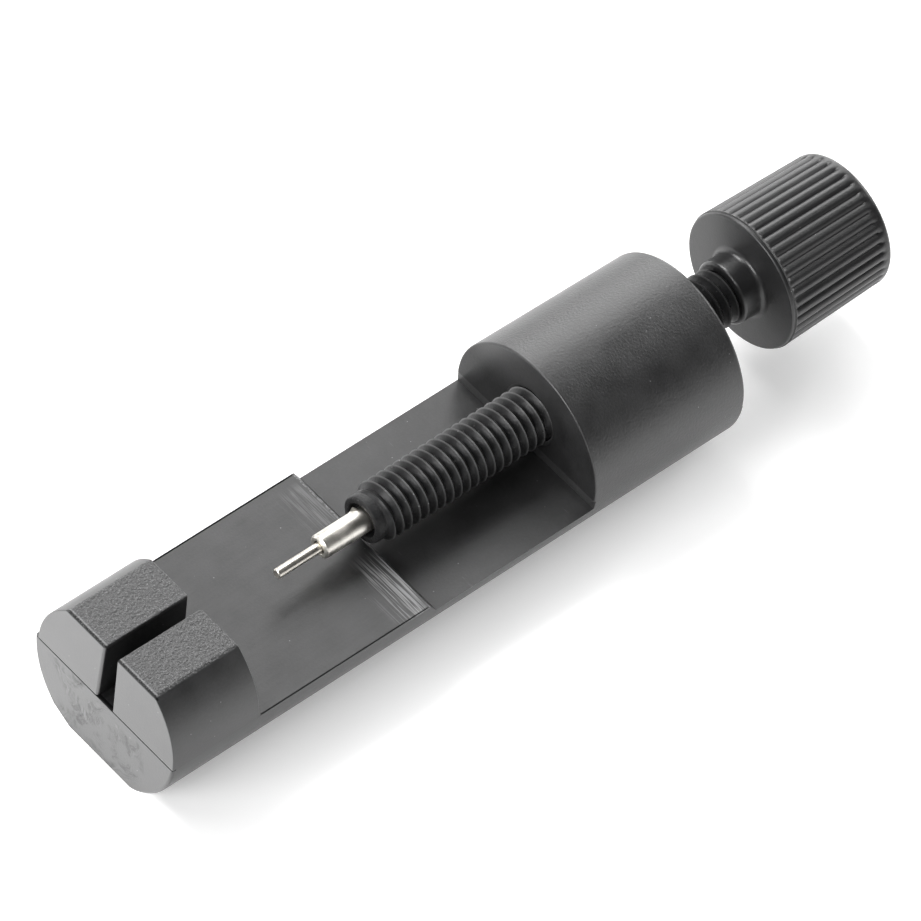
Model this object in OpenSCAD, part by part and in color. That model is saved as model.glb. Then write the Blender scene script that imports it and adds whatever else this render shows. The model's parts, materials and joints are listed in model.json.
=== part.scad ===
// Bracelet pin pusher: a slotted anvil and a flat bed on one round body, and a fine
// feed screw that carries a push pin towards the anvil. Millimetres. The tool lies along X
// with its anvil at -X and its knob at +X, and stands on its flat base at z = 0.

/* [Body] */
// Length of the body from the anvil's front face to the collar's rear face
body_l = 51.5; // [48:0.5:60]
// Diameter of the body below the parting plane
body_d = 14.2; // [13:0.1:18]
// Distance from the body's axis down to the flat base
base_drop = 6.15; // [5.8:0.05:6.4]
// Width of the flat that the tool stands on
base_flat_w = 5.8; // [4:0.1:6.4]
// Rise of the base's bevelled edges, for each millimetre outwards
base_bevel = 0.45; // [0.3:0.05:0.7]
// Distance from the body's axis down to the raised bed, which is also the parting plane
bed_drop = 0.2; // [0:0.05:0.6]

/* [Bed] */
// Distance from the front face to the end of the raised bed
raised_bed_l = 22.75; // [20:0.25:26]
// Height of the step from the raised bed down to the lower bed
step_h = 0.95; // [0.4:0.05:1.5]
// Length of the sloping face between the two beds
step_run = 0.65; // [0.2:0.05:1.5]

/* [Anvil] */
// Length of the two posts along the tool, at their tops
post_l = 7.2; // [5:0.1:9]
// Height of the posts above the raised bed
post_h = 5.55; // [4:0.05:6]
// Diameter of the posts' round outer sides
post_d = 13.9; // [13:0.1:14.2]
// Sideways offset of the posts and their slot, because the mould's halves do not quite meet
mould_offset = 0.15; // [0:0.05:0.2]
// How much longer the posts are at the bed than at the top
post_draft = 0.4; // [0:0.05:0.8]
// Width of the slot between the posts, at the bed
slot_w = 1.6; // [1.2:0.05:2.4]
// Width of the slot at the top of the posts
slot_top_w = 1.3; // [1:0.05:2.4]
// Chamfer along the front top edge and the slot's top edges of the posts
post_chamfer = 0.18; // [0.05:0.01:0.3]

/* [Collar] */
// Length of the full round collar that holds the screw
collar_l = 13.9; // [10:0.1:16]
// Diameter of the collar at its front face
collar_front_d = 14.15; // [13.4:0.05:14.2]
// Diameter of the collar at its rear face
collar_rear_d = 13.85; // [13.4:0.05:14.2]
// Chamfer on the collar's round edges
collar_chamfer = 0.15; // [0.05:0.05:0.4]

/* [Screw] */
// Height of the screw's axis above the body's axis
screw_rise = 2.15; // [1.8:0.05:2.4]
// Outer diameter of the thread
thread_d = 4.38; // [4:0.02:4.6]
// Distance between neighbouring turns of the thread
pitch = 0.75; // [0.7:0.05:0.8]
// Depth of the thread
thread_depth = 0.44; // [0.3:0.02:0.5]
// Distance from the anvil's front face to the screw's nose
nose_x = 22.4; // [20:0.1:30]
// Length of the screw's plain nose
nose_l = 0.8; // [0.75:0.05:1.5]
// Diameter of the plain nose, which passes through the collar's thread
nose_d = 3.6; // [3.5:0.02:3.64]
// Diameter of the wide mouth of the hole in the nose
nose_mouth_d = 2.5; // [2.1:0.05:3]
// Depth of that wide mouth
nose_mouth_l = 0.9; // [0.3:0.05:1.5]
// Length of the screw's plain end that is pressed into the knob
tail_l = 6.5; // [4:0.25:9]
// Clearance of the thread in the collar, on the radius
thread_gap = 0.16; // [0.12:0.01:0.2]

/* [Knob] */
// Length of the knob without its boss
knob_l = 9.6; // [7:0.05:14]
// Diameter over the ribs at the knob's front
knob_front_d = 10.75; // [9:0.05:12]
// Diameter over the ribs at the knob's rear
knob_rear_d = 10.3; // [9:0.05:12]
// Number of ribs round the knob
ribs = 40; // [24:1:48]
// Width of the groove between two ribs
rib_groove_w = 0.52; // [0.3:0.02:0.6]
// Length of the plain rim at each end of the ribs
rim_l = 0.35; // [0.2:0.05:1]
// Diameter of the front rim
rim_d = 10.55; // [9:0.05:11]
// Radius of the knob's rounded rear edge
knob_edge_r = 0.3; // [0.2:0.05:1]
// Distance from the collar's rear face to the boss, as the tool lies
boss_gap = 3.85; // [0.1:0.75:15]
// Length of the boss between the thread and the knob
boss_l = 1.85; // [1:0.05:4]
// Diameter of the boss
boss_d = 4.9; // [4.6:0.05:6]
// Radius of the fillet where the boss meets the knob
boss_fillet = 0.6; // [0.2:0.05:1]

/* [Push pin] */
// Diameter of the pin holder
holder_d = 1.8; // [1.5:0.02:2]
// Length of the holder that stands out of the screw's nose
holder_out = 3.8; // [2:0.1:6]
// Length of the holder inside the screw
holder_in = 6; // [3:0.25:9]
// Chamfer on the holder's front edge
holder_chamfer = 0.15; // [0.05:0.01:0.3]
// Diameter of the thin push pin
pin_d = 0.75; // [0.6:0.01:1]
// Length of the push pin that stands out of its holder
pin_out = 3.75; // [2:0.05:5]
// Length of the push pin inside its holder
pin_in = 3; // [1:0.25:5]
// Chamfer on the push pin's tip
pin_chamfer = 0.06; // [0.02:0.01:0.15]
// Clearance of the holder in the screw, on the radius
holder_gap = 0.03; // [0.02:0.01:0.1]

/* [Hidden] */
$fn = 96;

// overlap that lets a cut run clear through a face
eps = 0.5;
thread_sides = 20;
thread_r = thread_d / 2;
root_r = thread_r - thread_depth;
// the plain stretches at both ends of the thread are a little fuller than its root
core_r = root_r + 0.02;
// how far in front of the boss the thread has died away
thread_stop = 0.275;
// the thread's section over one pitch: a flat root, a flank, a flat crest and a flank
thread_root_w = 0.1;
thread_crest_w = 0.12;
flank_w = (pitch - thread_root_w - thread_crest_w) / 2;

boss_x = body_l + boss_gap;
knob_x = boss_x + boss_l;
overall_l = knob_x + knob_l;
collar_x = body_l - collar_l;
post_top = post_h - bed_drop;
lower_bed = -bed_drop - step_h;
holder_x = nose_x - holder_out;
pin_x = holder_x - pin_out;

// both threads are laid out in whole turns from the screw's thread end, so they are in mesh
thread_end_x = boss_x - thread_stop;
screw_turns = floor((thread_end_x - nose_x) / pitch);
screw_first_x = thread_end_x - screw_turns * pitch;
collar_first_x = thread_end_x - ceil((thread_end_x - collar_x) / pitch + 2) * pitch;
collar_turns = ceil(collar_l / pitch) + 4;

plastic = [0.17, 0.17, 0.18];
screw_black = [0.12, 0.12, 0.13];
steel = [0.78, 0.76, 0.72];

// moves a part from the front face and body axis to the tool's own frame
module in_frame() {
    translate([-overall_l / 2, 0, base_drop]) children();
}

// the same, on the screw's axis
module on_screw_axis() {
    in_frame() translate([0, 0, screw_rise]) children();
}

// a rod along X
module rod(x, length, r1, r2) {
    translate([x, 0, 0]) rotate([0, 90, 0]) cylinder(h = length, r1 = r1, r2 = r2);
}

// an outline in the YZ plane, drawn out along X
module along_x(x, length) {
    translate([x, 0, 0]) rotate([90, 0, 90]) linear_extrude(length) children();
}

// an outline in the XZ plane, drawn out along Y
module along_y(width) {
    rotate([90, 0, 0]) linear_extrude(width, center = true) children();
}

// a right-hand thread and its core: plain for lead turns, then rising to full height over
// half a turn, and falling away over the last half turn
module thread(first_x, turns, inner_r, outer_r, lead) {
    n = thread_sides;
    rows = n * turns;
    profile = [[0, 0], [thread_root_w, 0], [thread_root_w + flank_w, 1], [pitch - flank_w, 1]];
    m = len(profile);
    function rise(i) = max(0, min(1, 2 * min(i / n - lead, (rows - i) / n)));
    function r(i, j) = inner_r + (outer_r - inner_r) * profile[j][1] * rise(i);
    function x(i, j) = first_x + i / n * pitch + profile[j][0];
    points = [for (i = [0:rows + n], j = [0:m - 1])
        [x(i, j), r(i, j) * cos(360 * i / n), r(i, j) * sin(360 * i / n)]];
    front = len(points);
    rear = front + 1;
    function at(i, j) = j < m ? i * m + j : (i + n) * m;
    skin = [for (i = [0:rows - 1], j = [0:m - 1], half = [0, 1])
        half == 0 ? [at(i, j), at(i, j + 1), at(i + 1, j + 1)] : [at(i, j), at(i + 1, j + 1), at(i + 1, j)]];
    front_cap = concat(
        [for (i = [0:n - 1]) [front, at(i, 0), at(i + 1, 0)]],
        [for (j = [0:m - 1]) [front, at(0, j + 1), at(0, j)]]);
    rear_cap = concat(
        [for (i = [rows:rows + n - 1]) [rear, at(i + 1, 0), at(i, 0)]],
        [for (j = [0:m - 1]) [rear, at(rows, j), at(rows, j + 1)]]);
    axis_ends = [[first_x + pitch / 2, 0, 0], [first_x + (turns + 0.5) * pitch, 0, 0]];
    polyhedron(concat(points, axis_ends), concat(skin, front_cap, rear_cap));
}

// the half below the parting plane, with its flat base
module lower_half() {
    flat = base_flat_w / 2;
    side = body_d / 2;
    bevel_top = base_bevel * (side - flat) - base_drop;
    along_x(0, body_l) intersection() {
        circle(d = body_d);
        polygon([
            [-side, -bed_drop], [-side, bevel_top], [-flat, -base_drop],
            [flat, -base_drop], [side, bevel_top], [side, -bed_drop]]);
    }
}

module collar() {
    front_r = collar_front_d / 2;
    rear_r = collar_rear_d / 2;
    c = collar_chamfer;
    intersection() {
        union() {
            rod(collar_x, c, front_r - c, front_r);
            rod(collar_x + c, collar_l - 2 * c, front_r, rear_r);
            rod(body_l - c, c, rear_r, rear_r - c);
        }
        translate([0, -body_d, -bed_drop - eps]) cube([body_l + eps, 2 * body_d, 2 * body_d]);
    }
}

// the two posts with the slot between them
module anvil() {
    c = post_chamfer;
    translate([0, -mould_offset, 0]) difference() {
        intersection() {
            rod(0, post_l + post_draft, post_d / 2, post_d / 2);
            along_y(2 * body_d) polygon([
                [0, -bed_drop - eps], [post_l + post_draft, -bed_drop - eps],
                [post_l + post_draft, -bed_drop], [post_l, post_top],
                [c, post_top], [0, post_top - c]]);
        }
        along_x(-eps, body_l / 2) polygon([
            [-slot_w / 2, -bed_drop], [-slot_top_w / 2, post_top - c],
            [-slot_top_w / 2 - c - eps, post_top + eps], [slot_top_w / 2 + c + eps, post_top + eps],
            [slot_top_w / 2, post_top - c], [slot_w / 2, -bed_drop]]);
    }
}

// what is cut away above the lower bed, with the sloping face of the step
module step_cut() {
    along_y(2 * body_d) polygon([
        [raised_bed_l, -bed_drop], [raised_bed_l + step_run, lower_bed],
        [collar_x, lower_bed], [collar_x, eps], [raised_bed_l, eps]]);
}

module body() {
    color(plastic) in_frame() difference() {
        union() {
            lower_half();
            collar();
            anvil();
        }
        step_cut();
        translate([0, 0, screw_rise])
            thread(collar_first_x, collar_turns, root_r + thread_gap, thread_r + thread_gap, -1);
    }
}

module feed_screw() {
    color(screw_black) on_screw_axis() difference() {
        union() {
            rod(nose_x, nose_l, nose_d / 2, nose_d / 2);
            rod(nose_x + nose_l / 2, screw_first_x + pitch - nose_x - nose_l / 2, core_r, core_r);
            thread(screw_first_x, screw_turns, root_r, thread_r, 0.5);
            rod(thread_end_x, boss_x + tail_l - thread_end_x, core_r, core_r);
        }
        rod(nose_x - eps, nose_mouth_l + eps, nose_mouth_d / 2, nose_mouth_d / 2);
        rod(nose_x, holder_in + holder_gap, holder_d / 2 + holder_gap, holder_d / 2 + holder_gap);
    }
}

// the knob's outline before its ribs are cut
module knob_blank() {
    front_r = knob_front_d / 2;
    rear_r = knob_rear_d / 2;
    e = knob_edge_r;
    rod(0, rim_l, rim_d / 2, rim_d / 2);
    rod(rim_l, knob_l - rim_l - e, front_r, rear_r);
    rod(knob_l - e, e, rear_r - e, rear_r - e);
    translate([knob_l - e, 0, 0]) rotate([0, 90, 0]) rotate_extrude() intersection() {
        translate([rear_r - e, 0]) circle(r = e);
        square([rear_r, e]);
    }
}

// the boss in front of the knob, with its fillet
module boss() {
    f = boss_fillet;
    r = boss_d / 2;
    rod(-boss_l, boss_l + rim_l, r, r);
    rotate([0, -90, 0]) rotate_extrude() difference() {
        translate([r - f / 2, -f / 2]) square([1.5 * f, 1.5 * f]);
        translate([r + f, f]) circle(r = f);
    }
}

module knob() {
    taper = atan((knob_front_d - knob_rear_d) / 2 / knob_l);
    color(plastic) on_screw_axis() translate([knob_x, 0, 0]) difference() {
        union() {
            knob_blank();
            boss();
        }
        for (k = [0:ribs - 1]) rotate([360 * k / ribs, 0, 0])
            translate([rim_l, 0, knob_front_d / 2]) rotate([0, taper, 0])
                rod(0, knob_l - 2 * rim_l, rib_groove_w / 2, rib_groove_w / 2);
        rod(-boss_l - eps, tail_l + eps, core_r, core_r);
    }
}

module pin_holder() {
    r = holder_d / 2;
    c = holder_chamfer;
    color(steel) on_screw_axis() difference() {
        union() {
            rod(holder_x, c, r - c, r);
            rod(holder_x + c, holder_out + holder_in - c, r, r);
        }
        rod(holder_x - eps, pin_in + eps, pin_d / 2, pin_d / 2);
    }
}

module push_pin() {
    r = pin_d / 2;
    c = pin_chamfer;
    color(steel) on_screw_axis() {
        rod(pin_x, c, r - c, r);
        rod(pin_x + c, pin_out + pin_in - c, r, r);
    }
}

body();
feed_screw();
knob();
pin_holder();
push_pin();
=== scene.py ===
import json
import math

import bmesh
import bpy
from mathutils import Matrix, Vector


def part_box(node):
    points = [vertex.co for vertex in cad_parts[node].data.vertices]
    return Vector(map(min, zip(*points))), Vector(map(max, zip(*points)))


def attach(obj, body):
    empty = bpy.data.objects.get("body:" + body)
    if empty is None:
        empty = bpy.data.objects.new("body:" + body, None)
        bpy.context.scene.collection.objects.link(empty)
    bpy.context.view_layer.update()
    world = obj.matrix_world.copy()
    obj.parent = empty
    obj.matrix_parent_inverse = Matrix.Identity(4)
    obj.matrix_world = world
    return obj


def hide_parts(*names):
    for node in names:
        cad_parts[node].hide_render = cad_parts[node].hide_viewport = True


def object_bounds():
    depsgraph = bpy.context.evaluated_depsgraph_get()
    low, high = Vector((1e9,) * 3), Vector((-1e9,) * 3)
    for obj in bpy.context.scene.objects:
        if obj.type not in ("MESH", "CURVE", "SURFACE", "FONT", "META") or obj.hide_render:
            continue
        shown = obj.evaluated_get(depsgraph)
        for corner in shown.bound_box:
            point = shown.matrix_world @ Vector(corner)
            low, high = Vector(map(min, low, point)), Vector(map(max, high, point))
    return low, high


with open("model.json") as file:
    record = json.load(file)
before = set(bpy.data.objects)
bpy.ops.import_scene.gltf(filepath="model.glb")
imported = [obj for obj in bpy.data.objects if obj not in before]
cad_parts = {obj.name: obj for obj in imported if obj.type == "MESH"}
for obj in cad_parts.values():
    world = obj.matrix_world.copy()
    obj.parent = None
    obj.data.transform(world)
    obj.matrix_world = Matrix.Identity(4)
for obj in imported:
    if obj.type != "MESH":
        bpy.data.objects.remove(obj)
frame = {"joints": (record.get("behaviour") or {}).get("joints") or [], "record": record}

cad_low, cad_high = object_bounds()

MM = 0.001


# ---------------------------------------------------------------- sizes, in millimetres

body_low, body_high = (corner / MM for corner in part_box("body"))
nose_low, nose_high = (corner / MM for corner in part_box("feed_screw"))
knob_low, knob_high = (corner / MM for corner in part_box("knob"))
holder_low, holder_high = (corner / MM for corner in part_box("pin_holder"))
pin_low, pin_high = (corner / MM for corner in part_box("push_pin"))
mounts = {m["name"]: m for m in frame["record"]["mounts"]}
joints = {j["name"]: j for j in frame["joints"]}

FRONT = body_low.x
BED_DROP = 0.2
AXIS_Z = mounts["bed"]["pos_m"][2] / MM + BED_DROP
SCREW_RISE = joints["knob_turn"]["pos_m"][2] / MM - AXIS_Z

BODY_L = body_high.x - FRONT
BODY_R = 7.1
BASE_DROP = AXIS_Z
BASE_FLAT = 2.9
BASE_FLAT_NEAR = 3.4
BASE_BEVEL = 0.45   # rise of the bevel beside the base flat, per millimetre across
TOP_SHARE = 0.3     # how much of an end's rounding the upper edge of the lower half takes
BODY_EDGE = 0.25
RAISED_BED_L = 22.75
STEP_H = 0.95
STEP_RUN = 0.65
BED_Z = -BED_DROP
LOWER_BED_Z = BED_Z - STEP_H

POST_L = 7.2
POST_TOP = 5.35
POST_R = 6.95
POST_DRAFT = 0.4
POST_REAR_EDGE = 0.55   # the widest rounding on a post, on the near post's rear corner
MOULD_OFFSET = 0.15   # the posts sit this far towards the near side
FAR_GAP = 0.35        # the end face's parting line stops this far from the far edge
SLOT_W = 1.6
SLOT_TOP_W = 1.3

COLLAR_L = 13.9
COLLAR_X = BODY_L - COLLAR_L
COLLAR_FRONT_R = 7.075
COLLAR_REAR_R = 6.925

PITCH = 0.75
THREAD_R = 2.19
THREAD_DEPTH = 0.44
ROOT_R = THREAD_R - THREAD_DEPTH
CORE_R = ROOT_R + 0.02
ROOT_CENTRE = 0.05    # shifts the roots along the screw
THREAD_GAP = 0.16     # between the screw's thread and the collar's
NOSE_X = nose_low.x - FRONT
NOSE_L = 0.8
NOSE_R = 1.8
MOUTH_R = 1.3
MOUTH_L = 0.9
TAIL_END = nose_high.x - FRONT

BOSS_L = 1.85
BOSS_X = knob_low.x - FRONT
KNOB_X = BOSS_X + BOSS_L
KNOB_L = knob_high.x - FRONT - KNOB_X
KNOB_FRONT_R = 5.375
KNOB_REAR_R = 5.15
RIM_R = 5.275
RIM_L = 0.35
KNOB_EDGE = 0.3
RIBS = 40
RIB_DEPTH = 0.18
BOSS_R = 2.45
BOSS_FILLET = 0.45

HOLDER_R = (holder_high.z - holder_low.z) / 2
HOLDER_GAP = 0.03
PIN_R = (pin_high.z - pin_low.z) / 2

THREAD_STOP = 0.275   # from the thread's end to the boss's face
NOSE_LEAD = 0.35      # the helix may start this far before the nose's face
THREAD_END_X = BOSS_X - THREAD_STOP
SCREW_TURNS = math.floor((THREAD_END_X - NOSE_X + NOSE_LEAD) / PITCH)


# ---------------------------------------------------------------- mesh tools

def arc(cx, cy, r, start, end, steps):
    """Points along a circle's arc, from one angle to another, in degrees."""
    turn = [math.radians(start + (end - start) * k / steps) for k in range(steps + 1)]
    return [(cx + r * math.cos(a), cy + r * math.sin(a)) for a in turn]


def quarter_turn(steps):
    """Angles from 0 to 90 degrees, in radians."""
    return [math.pi / 2 * k / steps for k in range(steps + 1)]


def add_object(name, data):
    obj = bpy.data.objects.new(name, data)
    bpy.context.scene.collection.objects.link(obj)
    return obj


def new_object(name, points, faces):
    mesh = bpy.data.meshes.new(name)
    mesh.from_pydata(points, [], faces)
    return add_object(name, mesh)


def turn_outwards(obj):
    """Merges points that coincide, drops faces that closed up, and turns all faces outwards."""
    merge = 0.0005
    bm = bmesh.new()
    bm.from_mesh(obj.data)
    bmesh.ops.remove_doubles(bm, verts=bm.verts, dist=merge)
    bmesh.ops.recalc_face_normals(bm, faces=bm.faces)
    bm.to_mesh(obj.data)
    bm.free()
    return obj


def skin(count, n):
    """The faces between neighbouring rings, for count rings of n points."""
    return [(k * n + i, k * n + (i + 1) % n, (k + 1) * n + (i + 1) % n, (k + 1) * n + i)
            for k in range(count - 1) for i in range(n)]


def loft(name, rings):
    """A closed solid through rings of equally many points, with a flat cap on each end."""
    n = len(rings[0])
    points = [p for one in rings for p in one]
    faces = skin(len(rings), n)
    last = (len(rings) - 1) * n
    faces += [tuple(range(n))[::-1], tuple(range(last, last + n))]
    return turn_outwards(new_object(name, points, faces))


def ring(x, r, n, z=0.0):
    """n points round the X axis."""
    angles = [2 * math.pi * i / n for i in range(n)]
    return [(x, r * math.cos(a), z + r * math.sin(a)) for a in angles]


def lathe(name, profile, n, z=0.0):
    """A solid of revolution about X, through (x, r) points from one end's rim to the other's."""
    return loft(name, [ring(x, r, n, z) for x, r in profile])


def prism_y(name, outline, half_width):
    """An outline of (x, z) points, drawn out along Y."""
    return loft(name, [[(x, y, z) for x, z in outline] for y in (-half_width, half_width)])


def prism_x(name, outline, x0, x1):
    """An outline of (y, z) points, drawn out along X."""
    return loft(name, [[(x, y, z) for y, z in outline] for x in (x0, x1)])


def apply_modifiers(obj):
    bpy.context.view_layer.update()
    made = obj.evaluated_get(bpy.context.evaluated_depsgraph_get())
    mesh = bpy.data.meshes.new_from_object(made)
    obj.modifiers.clear()
    obj.data = mesh
    return obj


def combine(obj, tools, operation):
    """Joins solids to obj, or cuts them from it, exactly. The tools are used up."""
    for tool in tools:
        modifier = obj.modifiers.new("combine", "BOOLEAN")
        modifier.operation = operation
        modifier.solver = "EXACT"
        modifier.object = tool
    apply_modifiers(obj)
    for tool in tools:
        bpy.data.objects.remove(tool)
    return obj


def join(name, objs):
    """Open shells that meet along their rims become one closed mesh."""
    bm = bmesh.new()
    for obj in objs:
        bm.from_mesh(obj.data)
        bpy.data.objects.remove(obj)
    mesh = bpy.data.meshes.new(name)
    bm.to_mesh(mesh)
    bm.free()
    return turn_outwards(add_object(name, mesh))


def shade(obj, sharp_degrees):
    """Smooth shading, but for edges that are sharper than the given angle."""
    obj.data.shade_smooth()
    obj.data.set_sharp_from_angle(angle=math.radians(sharp_degrees))


def place(obj, material, body, node, z=0.0):
    """Brings a piece from the tool's own frame to the shared one, and hands it its looks."""
    shift = Matrix.Translation((FRONT * MM, 0, (AXIS_Z + z) * MM))
    obj.data.transform(shift @ Matrix.Scale(MM, 4))
    obj.data.materials.clear()
    obj.data.materials.append(material)
    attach(obj, body)
    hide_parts(node)


# ---------------------------------------------------------------- threads

def thread_height(share):
    """Height of the thread, 0 to 1, over one pitch from root to root: a narrow crest."""
    narrowing = 0.85
    return 1 - abs(2 * share - 1) ** narrowing


def helix(first_x, turns, inner_r, outer_r, n, m):
    """An open right-hand thread with a plain turn at each end, where it stops in a flat circle.

    It has n points to the turn and m to the pitch.
    """
    threaded = n * (turns - 1)
    rows = n * turns
    low, high = first_x + PITCH, first_x + turns * PITCH

    def rise(i):
        return max(0.0, min(1.0, 2 * (i / n - 1), 2 * (threaded - i) / n))

    points = []
    for i in range(rows + n + 1):
        a = 2 * math.pi * i / n
        for j in range(m):
            x = first_x + i / n * PITCH + j / m * PITCH
            r = inner_r + (outer_r - inner_r) * thread_height(j / m) * rise(i)
            x = min(high, max(low, x))
            points.append((x, r * math.cos(a), r * math.sin(a)))

    def at(i, j):
        return i * m + j if j < m else (i + n) * m

    faces = [(at(i, j), at(i, j + 1), at(i + 1, j + 1), at(i + 1, j))
             for i in range(rows) for j in range(m)]
    obj = turn_outwards(new_object("helix", points, faces))
    drop_flat_ends(obj, (low, high))
    return obj


def drop_flat_ends(obj, ends):
    """Removes what was pressed flat against the end planes, apart from the rims."""
    tiny = 1e-4
    bm = bmesh.new()
    bm.from_mesh(obj.data)
    flat = [f for f in bm.faces if any(all(abs(v.co.x - x) < tiny for v in f.verts) for x in ends)]
    bmesh.ops.delete(bm, geom=flat, context="FACES")
    bmesh.ops.delete(bm, geom=[v for v in bm.verts if not v.link_faces], context="VERTS")
    bm.to_mesh(obj.data)
    bm.free()


def open_lathe(profile, n):
    """A surface of revolution about X with no end caps; a radius of 0 closes it."""
    points = [p for x, r in profile for p in ring(x, r, n)]
    return turn_outwards(new_object("lathe", points, skin(len(profile), n)))


# ---------------------------------------------------------------- the moulded body

def lower_side(inset, flat):
    """One side of the section below the parting plane: the base's bevel and the round side."""
    r = BODY_R - inset
    top = BED_Z - TOP_SHARE * inset
    # the bevelled edge meets the round side where a line meets a circle
    c = inset * math.hypot(1, BASE_BEVEL) - BASE_DROP - BASE_BEVEL * flat
    slope = 1 + BASE_BEVEL ** 2
    y = (math.sqrt((BASE_BEVEL * c) ** 2 - slope * (c * c - r * r)) - BASE_BEVEL * c) / slope
    start = math.degrees(math.atan2(c + BASE_BEVEL * y, y))
    edge = ((inset - BASE_DROP - c) / BASE_BEVEL, inset - BASE_DROP)
    return [edge] + arc(0, 0, r, start, math.degrees(math.asin(top / r)), 40)


def lower_outline(inset):
    """The body's section below the parting plane, moved in by inset."""
    near = [(-y, z) for y, z in lower_side(inset, BASE_FLAT_NEAR)]
    return lower_side(inset, BASE_FLAT) + near[::-1]


def rounded_ends(length, front_r, rear_r, steps):
    """(x, inset) stations along a bar whose two ends have rounded edges."""
    stations = [(front_r * (1 - math.cos(a)), front_r * (1 - math.sin(a)))
                for a in quarter_turn(steps)]
    stations += [(length - rear_r * (1 - math.cos(a)), rear_r * (1 - math.sin(a)))
                 for a in quarter_turn(steps)[::-1]]
    return stations


def lower_half():
    rings = [[(x, y, z) for y, z in lower_outline(inset)]
             for x, inset in rounded_ends(BODY_L, BODY_EDGE, BODY_EDGE, 6)]
    return loft("lower_half", rings)


def step_cutter():
    """What is cut away above the lower bed, with the sloping face of the step."""
    sink, above = 0.15, 2
    foot = RAISED_BED_L + STEP_RUN
    outline = [(RAISED_BED_L, BED_Z), (RAISED_BED_L + 0.05, BED_Z - 0.03),
               (foot, LOWER_BED_Z + 0.04), (foot + 0.06, LOWER_BED_Z),
               (COLLAR_X + sink, LOWER_BED_Z), (COLLAR_X + sink, above),
               (RAISED_BED_L - 1, above), (RAISED_BED_L - 0.04, BED_Z + 0.001)]
    return prism_y("step_cutter", outline, 2 * BODY_R)


def collar_outline(x, inset):
    """The collar's section at x: round, but flush with the lower half on the near side."""
    r = COLLAR_FRONT_R + (COLLAR_REAR_R - COLLAR_FRONT_R) * (x - COLLAR_X) / COLLAR_L
    start = math.degrees(math.asin(BED_Z / BODY_R))
    flush_from = 120
    flush_over = 180 - start - flush_from
    outline = []
    for y, z in arc(0, 0, 1, start, 180 - start, 90):
        share = max(0, (math.degrees(math.atan2(z, y)) % 360 - flush_from) / flush_over)
        if z < 0 and y > 0:
            share = 0
        reach = r + (BODY_R - r) * share * share * (3 - 2 * share) - inset
        outline.append((reach * y, reach * z))
    sunk = 0.4
    return outline + [(y * (r - sunk), BED_Z - sunk) for y in (-1, 1)]


def collar():
    """The upper part of the collar, down to just below the parting plane."""
    front_edge, rear_edge = 0.15, 0.28
    behind_body = 0.02
    stations = rounded_ends(COLLAR_L - behind_body, front_edge, rear_edge, 6)
    rings = [[(COLLAR_X + x, y, z) for y, z in collar_outline(COLLAR_X + x, inset)]
             for x, inset in stations]
    return loft("collar", rings)


def post(side):
    """One of the anvil's two posts, with its edges rounded; side is -1 for the near one."""
    arm = math.sqrt(POST_R ** 2 - POST_TOP ** 2)
    sunk = 0.4
    foot = BED_Z - sunk
    low = math.degrees(math.asin(BED_Z / POST_R))
    high = math.degrees(math.atan2(POST_TOP, arm))
    outer = arc(0, 0, POST_R, low, high, 18)
    spread = (SLOT_W - SLOT_TOP_W) / 2 / (POST_TOP - BED_Z)
    slot_low = SLOT_W / 2 + spread * (BED_Z - foot)
    across = [(POST_R - sunk, foot)] + outer + [(SLOT_TOP_W / 2, POST_TOP), (slot_low, foot)]
    outline = [(side * y - MOULD_OFFSET, z) for y, z in across]
    lean = POST_DRAFT / (POST_TOP - BED_Z)
    rings = [[(0, y, z) for y, z in outline],
             [(POST_L + lean * (POST_TOP - z), y, z) for y, z in outline]]
    obj = loft("post", rings)

    bm = bmesh.new()
    bm.from_mesh(obj.data)
    weight = bm.edges.layers.float.new("bevel_weight_edge")
    for edge in bm.edges:
        edge[weight] = post_edge_radius(edge, side) / POST_REAR_EDGE
    bm.to_mesh(obj.data)
    bm.free()
    bevel = obj.modifiers.new("edges", "BEVEL")
    bevel.limit_method = "WEIGHT"
    bevel.width = POST_REAR_EDGE
    bevel.segments = 5
    bevel.use_clamp_overlap = False
    return apply_modifiers(obj)


def post_edge_radius(edge, side):
    """How far each of a post's edges is rounded off."""
    a, b = (v.co for v in edge.verts)
    middle = (a + b) / 2
    if middle.z < BED_Z + 0.01 or edge.calc_face_angle(0) < math.radians(20):
        on_slot_wall = abs(a.z - b.z) > 1 and abs(middle.y + MOULD_OFFSET) < SLOT_W
        if not on_slot_wall:
            return 0.0
    front = middle.x < 0.01
    if abs(middle.y + MOULD_OFFSET) < SLOT_W / 2 + 0.1 and abs(a.z - b.z) > 1:
        if side < 0:
            return 0.05 if front else POST_REAR_EDGE
        return 0.22 if front else 0.1
    if front:
        return 0.13 if min(a.z, b.z) > POST_TOP - 0.01 else 0.08
    if side < 0 and middle.y < -SLOT_W and middle.x < POST_L - 1:
        return 0.2
    return 0.1


def thread_cutter():
    """The screw's thread, a little wider, to cut through the collar."""
    before = math.ceil((THREAD_END_X - COLLAR_X) / PITCH + 3)
    first = THREAD_END_X + ROOT_CENTRE - before * PITCH
    turns = math.ceil(COLLAR_L / PITCH) + 6
    n, m = 48, 8
    gap = THREAD_GAP
    cutter = helix(first, turns, ROOT_R + gap, THREAD_R + gap, n, m)
    low, high = first + PITCH, first + turns * PITCH
    caps = [open_lathe([(x, 0), (x, ROOT_R + gap)], n) for x in (low, high)]
    made = join("thread_cutter", [cutter] + caps)
    made.data.transform(Matrix.Translation((0, 0, SCREW_RISE)))
    return made


def countersink(x, face_x):
    """A shallow cone where the thread starts at one of the collar's faces."""
    wide = THREAD_R + THREAD_GAP + 0.12
    profile = [(x, wide + abs(x - face_x)), (face_x, wide), (2 * face_x - x, ROOT_R)]
    return lathe("countersink", profile, 72, SCREW_RISE)


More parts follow.
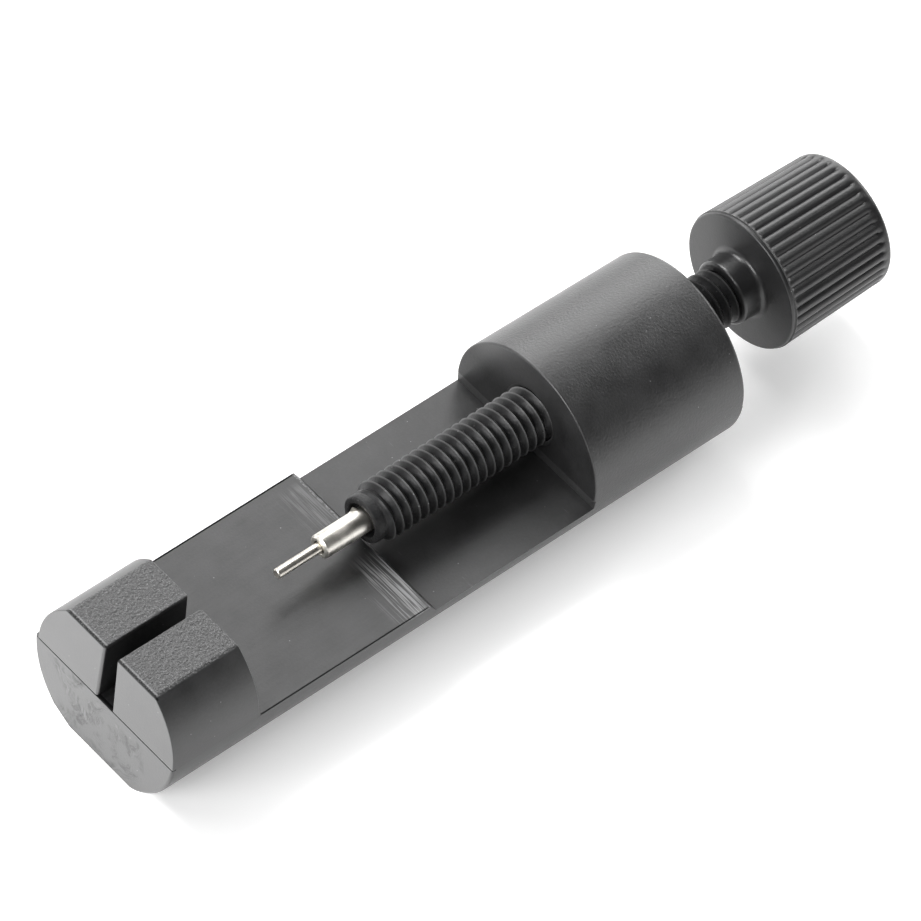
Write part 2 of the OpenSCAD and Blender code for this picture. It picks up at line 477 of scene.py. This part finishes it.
def parting_grooves():
    """The fine line where the mould's halves met, on the end face and along the raised bed."""
    deep, reach, half = 0.15, 0.3, 0.18
    wedge = [(-reach, BED_Z + half), (-reach, BED_Z - half), (deep, BED_Z)]
    end = prism_y("parting_end", wedge, BODY_R)
    for vertex in end.data.vertices:
        vertex.co.y -= FAR_GAP
    sides = []
    from_edge, half_width, clear = 0.09, 0.07, 0.15
    for side in (-1, 1):
        y = side * (BODY_R - from_edge)
        outline = [(y - half_width, BED_Z + 0.05), (y + half_width, BED_Z + 0.05),
                   (y, BED_Z - deep)]
        sides.append(prism_x("parting_side", outline,
                             POST_L + POST_DRAFT + clear, RAISED_BED_L - clear))
    return [end] + sides


def make_body():
    """The whole moulding: the lower half with its beds, the anvil's posts and the collar."""
    body = lower_half()
    combine(body, [step_cutter()], "DIFFERENCE")
    combine(body, [collar(), post(-1), post(1)], "UNION")
    combine(body, [thread_cutter(), countersink(COLLAR_X - 0.4, COLLAR_X),
                   countersink(BODY_L + 0.4, BODY_L - 0.02)] + parting_grooves(), "DIFFERENCE")
    body.name = "moulded_body"
    shade(body, 32)
    normals = body.modifiers.new("even_normals", "WEIGHTED_NORMAL")
    normals.keep_sharp = True
    normals.weight = 60
    return apply_modifiers(body)


# ---------------------------------------------------------------- the screw and the knob

def make_screw():
    """The black screw: a nose with a wide-mouthed hole, a thread and a plain tail."""
    n, m = 72, 12
    first = THREAD_END_X + ROOT_CENTRE - SCREW_TURNS * PITCH
    turns = SCREW_TURNS + 1
    thread = helix(first, turns, ROOT_R, THREAD_R, n, m)
    low, high = first + PITCH, first + turns * PITCH
    hole = HOLDER_R + HOLDER_GAP
    hole_end = holder_high.x - FRONT + HOLDER_GAP
    inner, outer, tip = 0.12, 0.18, 0.2
    mouth_end, nose_end = NOSE_X + MOUTH_L, NOSE_X + NOSE_L
    profile = [(hole_end, 0), (hole_end, hole), (mouth_end, hole)]
    profile += [(mouth_end - inner, MOUTH_R - inner), (mouth_end - 0.3, MOUTH_R)]
    profile += [(NOSE_X + inner + x, MOUTH_R + inner + r)
                for x, r in arc(0, 0, inner, 270, 180, 4)]
    profile += [(NOSE_X + outer + x, NOSE_R - outer + r)
                for x, r in arc(0, 0, outer, 180, 90, 5)]
    profile += [(nose_end - 0.12, NOSE_R), (nose_end - 0.04, CORE_R), (low, ROOT_R)]
    nose = open_lathe(profile, n)
    tail = open_lathe([(high, ROOT_R), (TAIL_END - tip, CORE_R), (TAIL_END, CORE_R - tip),
                       (TAIL_END, 0)], n)
    screw = join("threaded_screw", [nose, thread, tail])
    shade(screw, 40)
    return screw


def rib_share(angle):
    """1 on top of a rib and 0 in the groove beside it."""
    across = abs((angle * RIBS / (2 * math.pi)) % 1 - 0.5) * 2
    return 1 - across ** 2


def knob_stations():
    """(x, drop, grooved) along the knob's side.

    The drop is how far an edge's rounding has fallen, and grooved goes from 0 on the plain rims
    to 1 where the grooves are at their deepest.
    """
    lip, edge, ramp, fade = 0.16, KNOB_EDGE, 0.3, 0.7
    stations = [(lip * (1 - math.cos(a)), lip * (1 - math.sin(a)), 0.0) for a in quarter_turn(5)]
    stations += [(RIM_L - 0.06, 0.0, 0.0)]
    stations += [(RIM_L + ramp * (1 - math.cos(a)), 0.0, math.sin(a)) for a in quarter_turn(6)]
    start, end = RIM_L + ramp, KNOB_L - RIM_L - fade
    stations += [(start + (end - start) * k / 6, 0.0, 1.0) for k in range(1, 6)]
    stations += [(end + fade * k / 8, 0.0, 0.5 + 0.5 * math.cos(math.pi * k / 8))
                 for k in range(9)]
    stations += [(KNOB_L - edge * (1 - math.sin(a)), edge * (1 - math.cos(a)), 0.0)
                 for a in quarter_turn(6)]
    return stations


def knob_radius(x, drop, grooved, angle):
    """The knob's radius at a station; its front rim is a little narrower than its ribs."""
    crest = KNOB_FRONT_R + (KNOB_REAR_R - KNOB_FRONT_R) * x / KNOB_L
    if x < RIM_L:
        crest = RIM_R
    return crest - RIB_DEPTH * grooved * (1 - rib_share(angle)) - drop


def make_knob():
    """The knob: moulded ribs between two plain rims, a flat rear face, and the screw's boss."""
    n = RIBS * 12
    angles = [2 * math.pi * i / n for i in range(n)]
    hole_end = TAIL_END - KNOB_X
    nose, f, c = 0.28, BOSS_FILLET, 0.1
    inner = [(hole_end, 0), (hole_end, CORE_R), (-BOSS_L + c, CORE_R), (-BOSS_L, CORE_R + c)]
    inner += [(-BOSS_L + nose + x, BOSS_R - nose + r) for x, r in arc(0, 0, nose, 180, 90, 7)]
    inner += [(x - f, BOSS_R + f + r) for x, r in arc(0, 0, f, 270, 360, 8)]
    rings = [ring(x, r, n) for x, r in inner]
    for x, drop, grooved in knob_stations():
        radii = [knob_radius(x, drop, grooved, a) for a in angles]
        rings.append([(x, r * math.cos(a), r * math.sin(a)) for r, a in zip(radii, angles)])
    rings.append(ring(KNOB_L, 0, n))
    points = [(x + KNOB_X, y, z) for one in rings for x, y, z in one]
    knob = turn_outwards(new_object("ribbed_knob", points, skin(len(rings), n)))
    shade(knob, 40)
    return knob


# ---------------------------------------------------------------- the steel parts

def bead_height(x, angle):
    """How far the lump near the holder's root stands out, on its upper far side."""
    before_nose, length, height = 0.16, 0.2, 0.17
    centre, width = math.radians(38), math.radians(22)
    along = (x - NOSE_X + before_nose) / length
    around = math.remainder(angle - centre, 2 * math.pi) / width
    lumps = 1 + 0.25 * math.sin(3 * angle + 9 * x) + 0.2 * math.sin(11 * x)
    return height * lumps * math.exp(-along * along - around * around)


def make_holder():
    """The bright sleeve that holds the push pin, with a countersunk hole in its front."""
    x0, x1 = holder_low.x - FRONT, holder_high.x - FRONT
    c, sink = 0.15, 0.14
    bottom = pin_high.x - FRONT
    profile = [(bottom, 0), (bottom, PIN_R), (x0 + 2.2 * sink, PIN_R), (x0 + 0.02, PIN_R + sink),
               (x0, PIN_R + sink + 0.02), (x0, HOLDER_R - c - 0.02), (x0 + 0.01, HOLDER_R - c),
               (x0 + c - 0.02, HOLDER_R - 0.01), (x0 + c + 0.02, HOLDER_R)]
    # close rings either side of the screw's nose, for the lump
    profile += [(NOSE_X - 1.3 + 0.06 * k, HOLDER_R) for k in range(30)]
    profile += [(x1 - 0.1, HOLDER_R), (x1, HOLDER_R - 0.1), (x1, 0)]
    holder = open_lathe(profile, 96)
    for vertex in holder.data.vertices:
        x, y, z = vertex.co
        r = math.hypot(y, z)
        if r > HOLDER_R - 0.01:
            grown = 1 + bead_height(x, math.atan2(z, y)) / r
            vertex.co = (x, y * grown, z * grown)
    holder.name = "steel_holder"
    shade(holder, 25)
    return holder


def make_pin():
    x0, x1 = pin_low.x - FRONT, pin_high.x - FRONT
    c = 0.06
    profile = [(x0, 0), (x0, PIN_R - c - 0.015), (x0 + 0.01, PIN_R - c), (x0 + c, PIN_R - 0.01),
               (x0 + c + 0.03, PIN_R), (x1 - c, PIN_R), (x1, PIN_R - c), (x1, 0)]
    pin = open_lathe(profile, 64)
    pin.name = "steel_pin"
    shade(pin, 25)
    return pin


# ---------------------------------------------------------------- materials

class Look:
    """A procedural material, laid out in millimetres in the tool's own frame."""

    def __init__(self, name, metallic=0.0):
        self.material = bpy.data.materials.new(name)
        self.material.use_nodes = True
        self.tree = self.material.node_tree
        self.shader = self.tree.nodes["Principled BSDF"]
        self.shader.inputs["Metallic"].default_value = metallic
        self.shader.inputs["IOR"].default_value = 1.6
        coordinates = self.node("ShaderNodeTexCoord").outputs["Object"]
        self.point = self.node("ShaderNodeMapping", Vector=coordinates, Scale=(1 / MM,) * 3,
                               Location=(-FRONT, 0, -AXIS_Z)).outputs[0]
        self.x, self.y, self.z = self.node("ShaderNodeSeparateXYZ", Vector=self.point).outputs

    def feed(self, socket, value):
        if isinstance(value, bpy.types.NodeSocket):
            self.tree.links.new(value, socket)
        else:
            socket.default_value = value

    def node(self, kind, setup=(), **inputs):
        node = self.tree.nodes.new(kind)
        for key, value in dict(setup).items():
            setattr(node, key, value)
        for key, value in inputs.items():
            self.feed(node.inputs[key], value)
        return node

    def math(self, operation, a, b):
        node = self.node("ShaderNodeMath", {"operation": operation})
        self.feed(node.inputs[0], a)
        self.feed(node.inputs[1], b)
        return node.outputs[0]

    def off_axis(self):
        """Distance from the screw's axis."""
        flat = self.node("ShaderNodeCombineXYZ", Y=self.y, Z=self.z).outputs[0]
        node = self.node("ShaderNodeVectorMath", {"operation": "DISTANCE"}, Vector=flat)
        node.inputs[1].default_value = (0, 0, SCREW_RISE)
        return node.outputs["Value"]

    def times(self, *values):
        total = values[0]
        for value in values[1:]:
            total = self.math("MULTIPLY", total, value)
        return total

    def plus(self, *values):
        total = values[0]
        for value in values[1:]:
            total = self.math("ADD", total, value)
        return total

    def ramp(self, value, low, high, start=0.0, end=1.0):
        """Goes smoothly from start to end while value goes from low to high."""
        node = self.node("ShaderNodeMapRange", {"interpolation_type": "SMOOTHSTEP"})
        for socket, given in zip(node.inputs, (value, low, high, start, end)):
            self.feed(socket, given)
        return node.outputs[0]

    def band(self, value, low, high, soft):
        """1 where value lies between low and high, and 0 outside."""
        return self.times(self.ramp(value, low - soft, low), self.ramp(value, high + soft, high))

    def noise(self, scale, detail=2.0, stretch=(1, 1, 1)):
        """Noise round 0, about -0.25 to 0.25, with scale cells to the millimetre."""
        point = self.node("ShaderNodeMapping", Vector=self.point, Scale=stretch).outputs[0]
        return self.noise_at(point, scale, detail)

    def noise_at(self, point, scale, detail):
        noise = self.node("ShaderNodeTexNoise", Vector=point, Scale=scale, Detail=detail)
        return self.math("SUBTRACT", noise.outputs[0], 0.5)

    def specks(self, per_mm, size, chance):
        """Small round dots, each up to size millimetres in radius."""
        cells = self.node("ShaderNodeTexVoronoi", Vector=self.point, Scale=per_mm)
        picked = self.node("ShaderNodeSeparateXYZ", Vector=cells.outputs["Color"]).outputs[0]
        return self.times(self.ramp(cells.outputs["Distance"], size * per_mm, 0.6 * size * per_mm),
                          self.ramp(picked, 1 - chance, 1 - 0.9 * chance))

    def color(self, dark, light, share):
        """A base colour between dark at a share of 0 and light at 1."""
        mix = self.node("ShaderNodeMix", {"data_type": "RGBA"})
        for socket, value in ((0, share), (6, (*dark, 1)), (7, (*light, 1))):
            self.feed(mix.inputs[socket], value)
        self.feed(self.shader.inputs["Base Color"], mix.outputs[2])

    def roughness(self, value):
        self.feed(self.shader.inputs["Roughness"], value)

    def gloss(self, value):
        self.feed(self.shader.inputs["Specular IOR Level"], value)

    def bump(self, height):
        """Height is in millimetres."""
        node = self.node("ShaderNodeBump", Height=height, Distance=MM)
        self.feed(self.shader.inputs["Normal"], node.outputs[0])


def wipe_marks(look, y, z, near, far):
    """Smudged wipe marks on the end face, near to far millimetres from a point in its plane."""
    distance = look.node("ShaderNodeVectorMath", {"operation": "DISTANCE"}, Vector=look.point)
    distance.inputs[1].default_value = (0, y, z)
    r = distance.outputs["Value"]
    sway, across, along = 3.0, 4.5, 0.5
    swayed = look.plus(r, look.times(look.noise(0.6, 3.0), sway))
    point = look.node("ShaderNodeCombineXYZ", X=look.times(swayed, across),
                      Y=look.times(look.y, along), Z=look.times(look.z, along)).outputs[0]
    marks = look.plus(look.noise_at(point, 1.0, 4.0), -0.08)
    here_and_there = look.ramp(look.noise(0.75, 2.0), -0.1, 0.1)
    return look.times(marks, look.band(r, near, far, 0.9), here_and_there)


def make_body_look():
    """Dark grey moulded plastic: grainy post tops, rubbed beds and a wiped end face."""
    look = Look("body_plastic")
    x, z = look.x, look.z
    post_tops = look.times(look.ramp(z, POST_TOP - 0.1, POST_TOP - 0.03),
                           look.ramp(x, POST_L + 1, POST_L + 0.6))
    behind = look.ramp(x, COLLAR_X, COLLAR_X + 0.2)
    raised_bed = look.times(look.band(z, BED_Z - 0.04, BED_Z + 0.04, 0.03),
                            look.ramp(x, RAISED_BED_L + 0.12, RAISED_BED_L + 0.05))
    lower_bed = look.band(z, LOWER_BED_Z - 0.04, LOWER_BED_Z + 0.04, 0.03)
    end_face = look.times(look.ramp(x, 0.1, 0.03), look.ramp(z, BED_Z - 0.02, BED_Z - 0.15))

    above_bed = look.times(look.ramp(z, BED_Z - 0.02, BED_Z + 0.12), look.ramp(z, 6.0, 2.5))
    # painted shade: the slot between the posts is painted darker and duller; the middle of this
    # mask lies 2 * MOULD_OFFSET to the far side of the slot's own
    across = look.math("ABSOLUTE", look.plus(look.y, -MOULD_OFFSET), 0.0)
    slot = look.times(look.ramp(across, SLOT_W / 2 + 0.04, SLOT_W / 2 - 0.02),
                      look.ramp(x, 0.06, 0.3), look.ramp(x, POST_L + 0.3, POST_L),
                      look.ramp(z, POST_TOP - 0.1, POST_TOP - 0.5))
    # painted shade: the collar's front face above the bed, painted darker and duller
    collar_front_shade = look.times(look.band(x, COLLAR_X - 0.2, COLLAR_X + 0.02, 0.04), above_bed)
    # painted shade: the front bevel on the post tops, painted darker and duller
    shaded_front_bevel = look.times(look.ramp(x, 0.2, 0.15),
                             look.ramp(z, POST_TOP - 0.22, POST_TOP - 0.16))
    # a painted highlight: a thin lighter line on the post tops just behind the front bevel
    front_highlight_line = look.times(look.band(x, 0.2, 0.27, 0.06), post_tops)
    # painted shade: the parting line's groove on the end face, painted darker and duller
    parting = look.times(look.band(z, BED_Z - 0.05, BED_Z + 0.05, 0.03),
                         look.band(x, 0.02, 0.3, 0.01),
                         look.ramp(look.y, BODY_R - FAR_GAP, BODY_R - FAR_GAP - 0.2))

    grain = look.noise(5.5, 3.0)
    fine = look.noise(13.0, 2.0)
    patches = look.noise(0.55, 3.0)
    streaks = look.noise(1.0, 3.0, (0.25, 3.2, 3.2))
    lines = look.noise(1.0, 3.0, (9.0, 0.28, 1.0))
    near_step = look.ramp(x, RAISED_BED_L - 3.4, RAISED_BED_L - 0.6)
    near_side = look.ramp(look.y, -0.6, -2.6)
    far_side = look.times(look.band(look.y, 2.6, 5.6, 1.0), 0.3)
    scratches = look.times(look.ramp(look.plus(lines, look.times(near_step, 0.08)), 0.02, 0.2),
                           near_step, look.plus(near_side, far_side), raised_bed)
    # a painted highlight: a broken lighter line along the step's top edge on the far side
    painted_step_highlight = look.times(look.band(x, RAISED_BED_L - 0.1, RAISED_BED_L + 0.12, 0.04),
                           look.ramp(look.y, 1.2, 2.6),
                           look.ramp(z, LOWER_BED_Z + 0.2, LOWER_BED_Z + 0.6),
                           look.ramp(grain, -0.1, 0.1))
    few_lines = look.times(look.ramp(look.noise(1.0, 2.0, (5.0, 0.2, 1.0)), 0.17, 0.22), lower_bed,
                           look.ramp(patches, 0.02, 0.1))
    arcs = look.times(end_face, look.plus(wipe_marks(look, 6.5, -3.2, 3.0, 5.2),
                                          wipe_marks(look, -0.6, -2.6, 0.9, 3.4)))
    dust = look.specks(1.1, 0.055, 0.45)
    # painted glints: light specks in the grain of the post tops
    painted_glints = look.times(look.ramp(look.noise(9.0, 2.0), 0.02, 0.22), post_tops)

    # the base colour: tone, grain, scratches, wipe marks and dust, with painted glints and
    # highlights on the post tops and the step's edge, and painted shade in the front bevel, the
    # slot, the collar's front face and the parting groove
    share = look.plus(look.times(patches, 0.07), look.times(grain, 0.04),
                      look.times(streaks, 0.04, raised_bed), look.times(scratches, 0.6),
                      look.times(few_lines, 0.14), look.times(arcs, 0.4),
                      look.times(painted_step_highlight, 0.35), look.times(dust, 0.4),
                      look.times(painted_glints, 0.28), look.times(front_highlight_line, 0.3),
                      look.times(shaded_front_bevel, -0.06), look.times(slot, -0.03),
                      look.times(collar_front_shade, -0.03), look.times(parting, -0.065), 0.065)
    look.color((0.006, 0.006, 0.0062), (0.32, 0.32, 0.325), share)
    look.gloss(look.plus(look.times(arcs, 0.9), look.times(slot, -0.36),
                         look.times(collar_front_shade, -0.3), look.times(shaded_front_bevel, -0.3),
                         look.times(parting, -0.45), 0.5))
    look.roughness(look.plus(0.37, look.times(patches, 0.14),
                             look.times(streaks, 0.12, raised_bed), look.times(post_tops, 0.06),
                             look.times(arcs, 0.3), look.times(scratches, 0.12)))
    grain_depth = look.plus(look.times(post_tops, 0.09), look.times(behind, 0.016), 0.006)
    look.bump(look.plus(look.times(grain, grain_depth), look.times(fine, 0.004),
                        look.times(scratches, 0.006), look.times(few_lines, 0.004),
                        look.times(streaks, 0.004, raised_bed)))
    return look.material


def make_screw_look():
    """Black moulded plastic: greyer on the thread's crests as a painted highlight, glossier there,
    and duller on the nose.
    """
    look = Look("screw_plastic")
    nose = look.ramp(look.x, NOSE_X + 1.0, NOSE_X + 0.6)
    off_axis = look.off_axis()
    # painted highlight: the crests are painted lighter all round the thread
    crest = look.ramp(off_axis, THREAD_R - 0.14, THREAD_R - 0.03)
    grain = look.noise(5.0, 3.0)
    burrs = look.specks(2.4, 0.07, 0.3)
    burr_share = look.plus(look.times(crest, 0.4), 0.15)
    look.color((0.009, 0.009, 0.0095), (0.3, 0.3, 0.3),
               look.plus(look.times(crest, 0.12), look.times(grain, 0.04),
                         look.times(burrs, burr_share), 0.02))
    mouth = look.times(look.ramp(look.x, NOSE_X + NOSE_L + 0.6, NOSE_X + NOSE_L),
                       look.ramp(off_axis, MOUTH_R + 0.05, MOUTH_R - 0.05))
    look.gloss(look.plus(look.times(mouth, -0.1), look.times(nose, -0.02),
                         look.times(crest, 0.3), 0.2))
    look.roughness(look.plus(0.36, look.times(nose, 0.14), look.times(grain, 0.12),
                             look.times(mouth, 0.3)))
    look.bump(look.plus(look.times(grain, look.plus(look.times(nose, 0.03), 0.014)),
                        look.times(look.noise(1.6, 2.0), 0.02)))
    return look.material


def make_knob_look():
    """The knob's dark plastic: a little glossier on the boss than on the ribs."""
    look = Look("knob_plastic")
    boss = look.ramp(look.x, KNOB_X + 0.1, KNOB_X - 0.1)
    patches = look.noise(0.7, 3.0)
    grain = look.noise(6.0, 3.0)
    dust = look.specks(1.3, 0.05, 0.4)
    look.color((0.012, 0.012, 0.0125), (0.3, 0.3, 0.3),
               look.plus(look.times(patches, 0.03), look.times(grain, 0.03),
                         look.times(dust, 0.5), 0.02))
    look.gloss(look.plus(look.times(boss, 0.05), 0.42))
    look.roughness(look.plus(0.35, look.times(boss, -0.04), look.times(patches, 0.07),
                             look.times(grain, 0.04)))
    look.bump(look.plus(look.times(grain, 0.008), look.times(look.noise(1.2, 2.0), 0.006)))
    return look.material


def make_steel_look(name, dark, light, roughness):
    """Turned bright metal: fine rings round the X axis, dull patches, a dark lump, and painted
    shade in the countersunk hole.
    """
    look = Look(name, metallic=1.0)
    rings = look.noise(1.0, 3.0, (22.0, 0.4, 0.4))
    patches = look.noise(1.1, 3.0)
    off_axis = look.off_axis()
    bead = look.ramp(off_axis, HOLDER_R + 0.01, HOLDER_R + 0.05)
    front = holder_low.x - FRONT
    # painted shade: the countersunk hole round the pin in the holder's front is painted dark
    sink = look.times(look.band(off_axis, PIN_R + 0.02, PIN_R + 0.12, 0.02),
                      look.band(look.x, front + 0.03, front + 0.5, 0.03))
    look.color(dark, light, look.plus(look.times(rings, 0.5), patches, look.times(bead, -0.9),
                                      look.times(sink, -0.9), 0.85))
    look.roughness(look.plus(roughness, look.times(rings, 0.14), look.times(patches, 0.2),
                             look.times(bead, 0.3)))
    look.bump(look.times(rings, 0.003))
    return look.material


# ---------------------------------------------------------------- floor, lights and camera

def make_floor():
    """A pale floor that glows a little, and more in a pool in front of the tool's end face."""
    reach = 3.0
    corners = [(-reach, -reach, 0), (reach, -reach, 0), (reach, reach, 0), (-reach, reach, 0)]
    floor = new_object("floor", corners, [(0, 1, 2, 3)])
    look = Look("pale_floor")
    pool = look.times(look.band(look.x, -26, -1, 2.5), look.band(look.y, -5, 22, 5))
    look.feed(look.shader.inputs["Base Color"], (0.86, 0.86, 0.86, 1))
    look.feed(look.shader.inputs["Emission Color"], (1, 1, 1, 1))
    look.feed(look.shader.inputs["Emission Strength"], look.plus(look.times(pool, 1.44), 0.32))
    look.roughness(0.9)
    floor.data.materials.append(look.material)


def direction(azimuth, elevation):
    """A unit vector from the tool; azimuth 0 is the +X side and 90 the +Y side."""
    a, e = math.radians(azimuth), math.radians(elevation)
    return Vector((math.cos(a) * math.cos(e), math.sin(a) * math.cos(e), math.sin(e)))


def softbox(name, azimuth, elevation, power):
    """A square light aimed at the tool, with its sizes in metres and its power in watts."""
    distance, size = 0.6, 0.3
    away = direction(azimuth, elevation)
    data = bpy.data.lights.new(name, "AREA")
    data.shape = "SQUARE"
    data.size = size
    data.energy = power
    lamp = add_object(name, data)
    lamp.location = away * distance
    lamp.rotation_euler = away.to_track_quat("Z", "Y").to_euler()


def make_lights():
    """Soft white lights all round, weak on the near side, and a pale horizon."""
    softbox("left", 180, 30, 2.67)
    softbox("left_back", 135, 50, 0.8)
    softbox("near_left", 225, 50, 0.25)
    softbox("back", 90, 50, 2.85)
    softbox("low_right_back", 45, 10, 0.96)
    softbox("right_back", 45, 30, 0.93)
    softbox("high_right_back", 45, 50, 0.43)
    softbox("right", 0, 30, 1.75)
    world = bpy.data.worlds.new("pale_horizon")
    world.use_nodes = True
    tree = world.node_tree
    background = tree.nodes["Background"]
    background.inputs["Color"].default_value = (1, 1, 1, 1)
    skyward = tree.nodes.new("ShaderNodeTexCoord").outputs["Generated"]
    split = tree.nodes.new("ShaderNodeSeparateXYZ")
    fade = tree.nodes.new("ShaderNodeMapRange")
    fade.interpolation_type = "SMOOTHSTEP"
    low, high, horizon, sky = 0.1, 0.35, 0.8, 0.0
    for socket, value in zip(fade.inputs[1:5], (low, high, horizon, sky)):
        socket.default_value = value
    tree.links.new(skyward, split.inputs[0])
    tree.links.new(split.outputs["Z"], fade.inputs["Value"])
    tree.links.new(fade.outputs[0], background.inputs["Strength"])
    bpy.context.scene.world = world


def make_camera():
    """The photo's camera, as fitted to the photo's outlines."""
    azimuth, elevation, roll, distance = 220.91, 51.32, 9.78, 0.617
    aim = (cad_low + cad_high) / 2 + Vector((-1.12, 0.77, -0.28)) * MM
    back = direction(azimuth, elevation)
    data = bpy.data.cameras.new("camera")
    data.lens = 355.6
    data.sensor_width = 36
    data.clip_start = 0.01
    camera = add_object("camera", data)
    camera.rotation_mode = "QUATERNION"
    turn = back.to_track_quat("Z", "Y").to_matrix() @ Matrix.Rotation(math.radians(roll), 3, "Z")
    camera.rotation_quaternion = turn.to_quaternion()
    camera.location = aim + back * distance
    bpy.context.scene.camera = camera


# ---------------------------------------------------------------- the scene

make_camera()
make_lights()
make_floor()

holder_look = make_steel_look("holder_steel", (0.2, 0.19, 0.17), (0.95, 0.92, 0.85), 0.37)
pin_look = make_steel_look("pin_steel", (0.2, 0.18, 0.15), (0.95, 0.91, 0.83), 0.35)

place(make_body(), make_body_look(), "base", "body")
place(make_screw(), make_screw_look(), "screw", "feed_screw", SCREW_RISE)
place(make_knob(), make_knob_look(), "screw", "knob", SCREW_RISE)
place(make_holder(), holder_look, "pin_carriage", "pin_holder", SCREW_RISE)
place(make_pin(), pin_look, "pin_carriage", "push_pin", SCREW_RISE)

bpy.context.scene.view_settings.view_transform = "Standard"
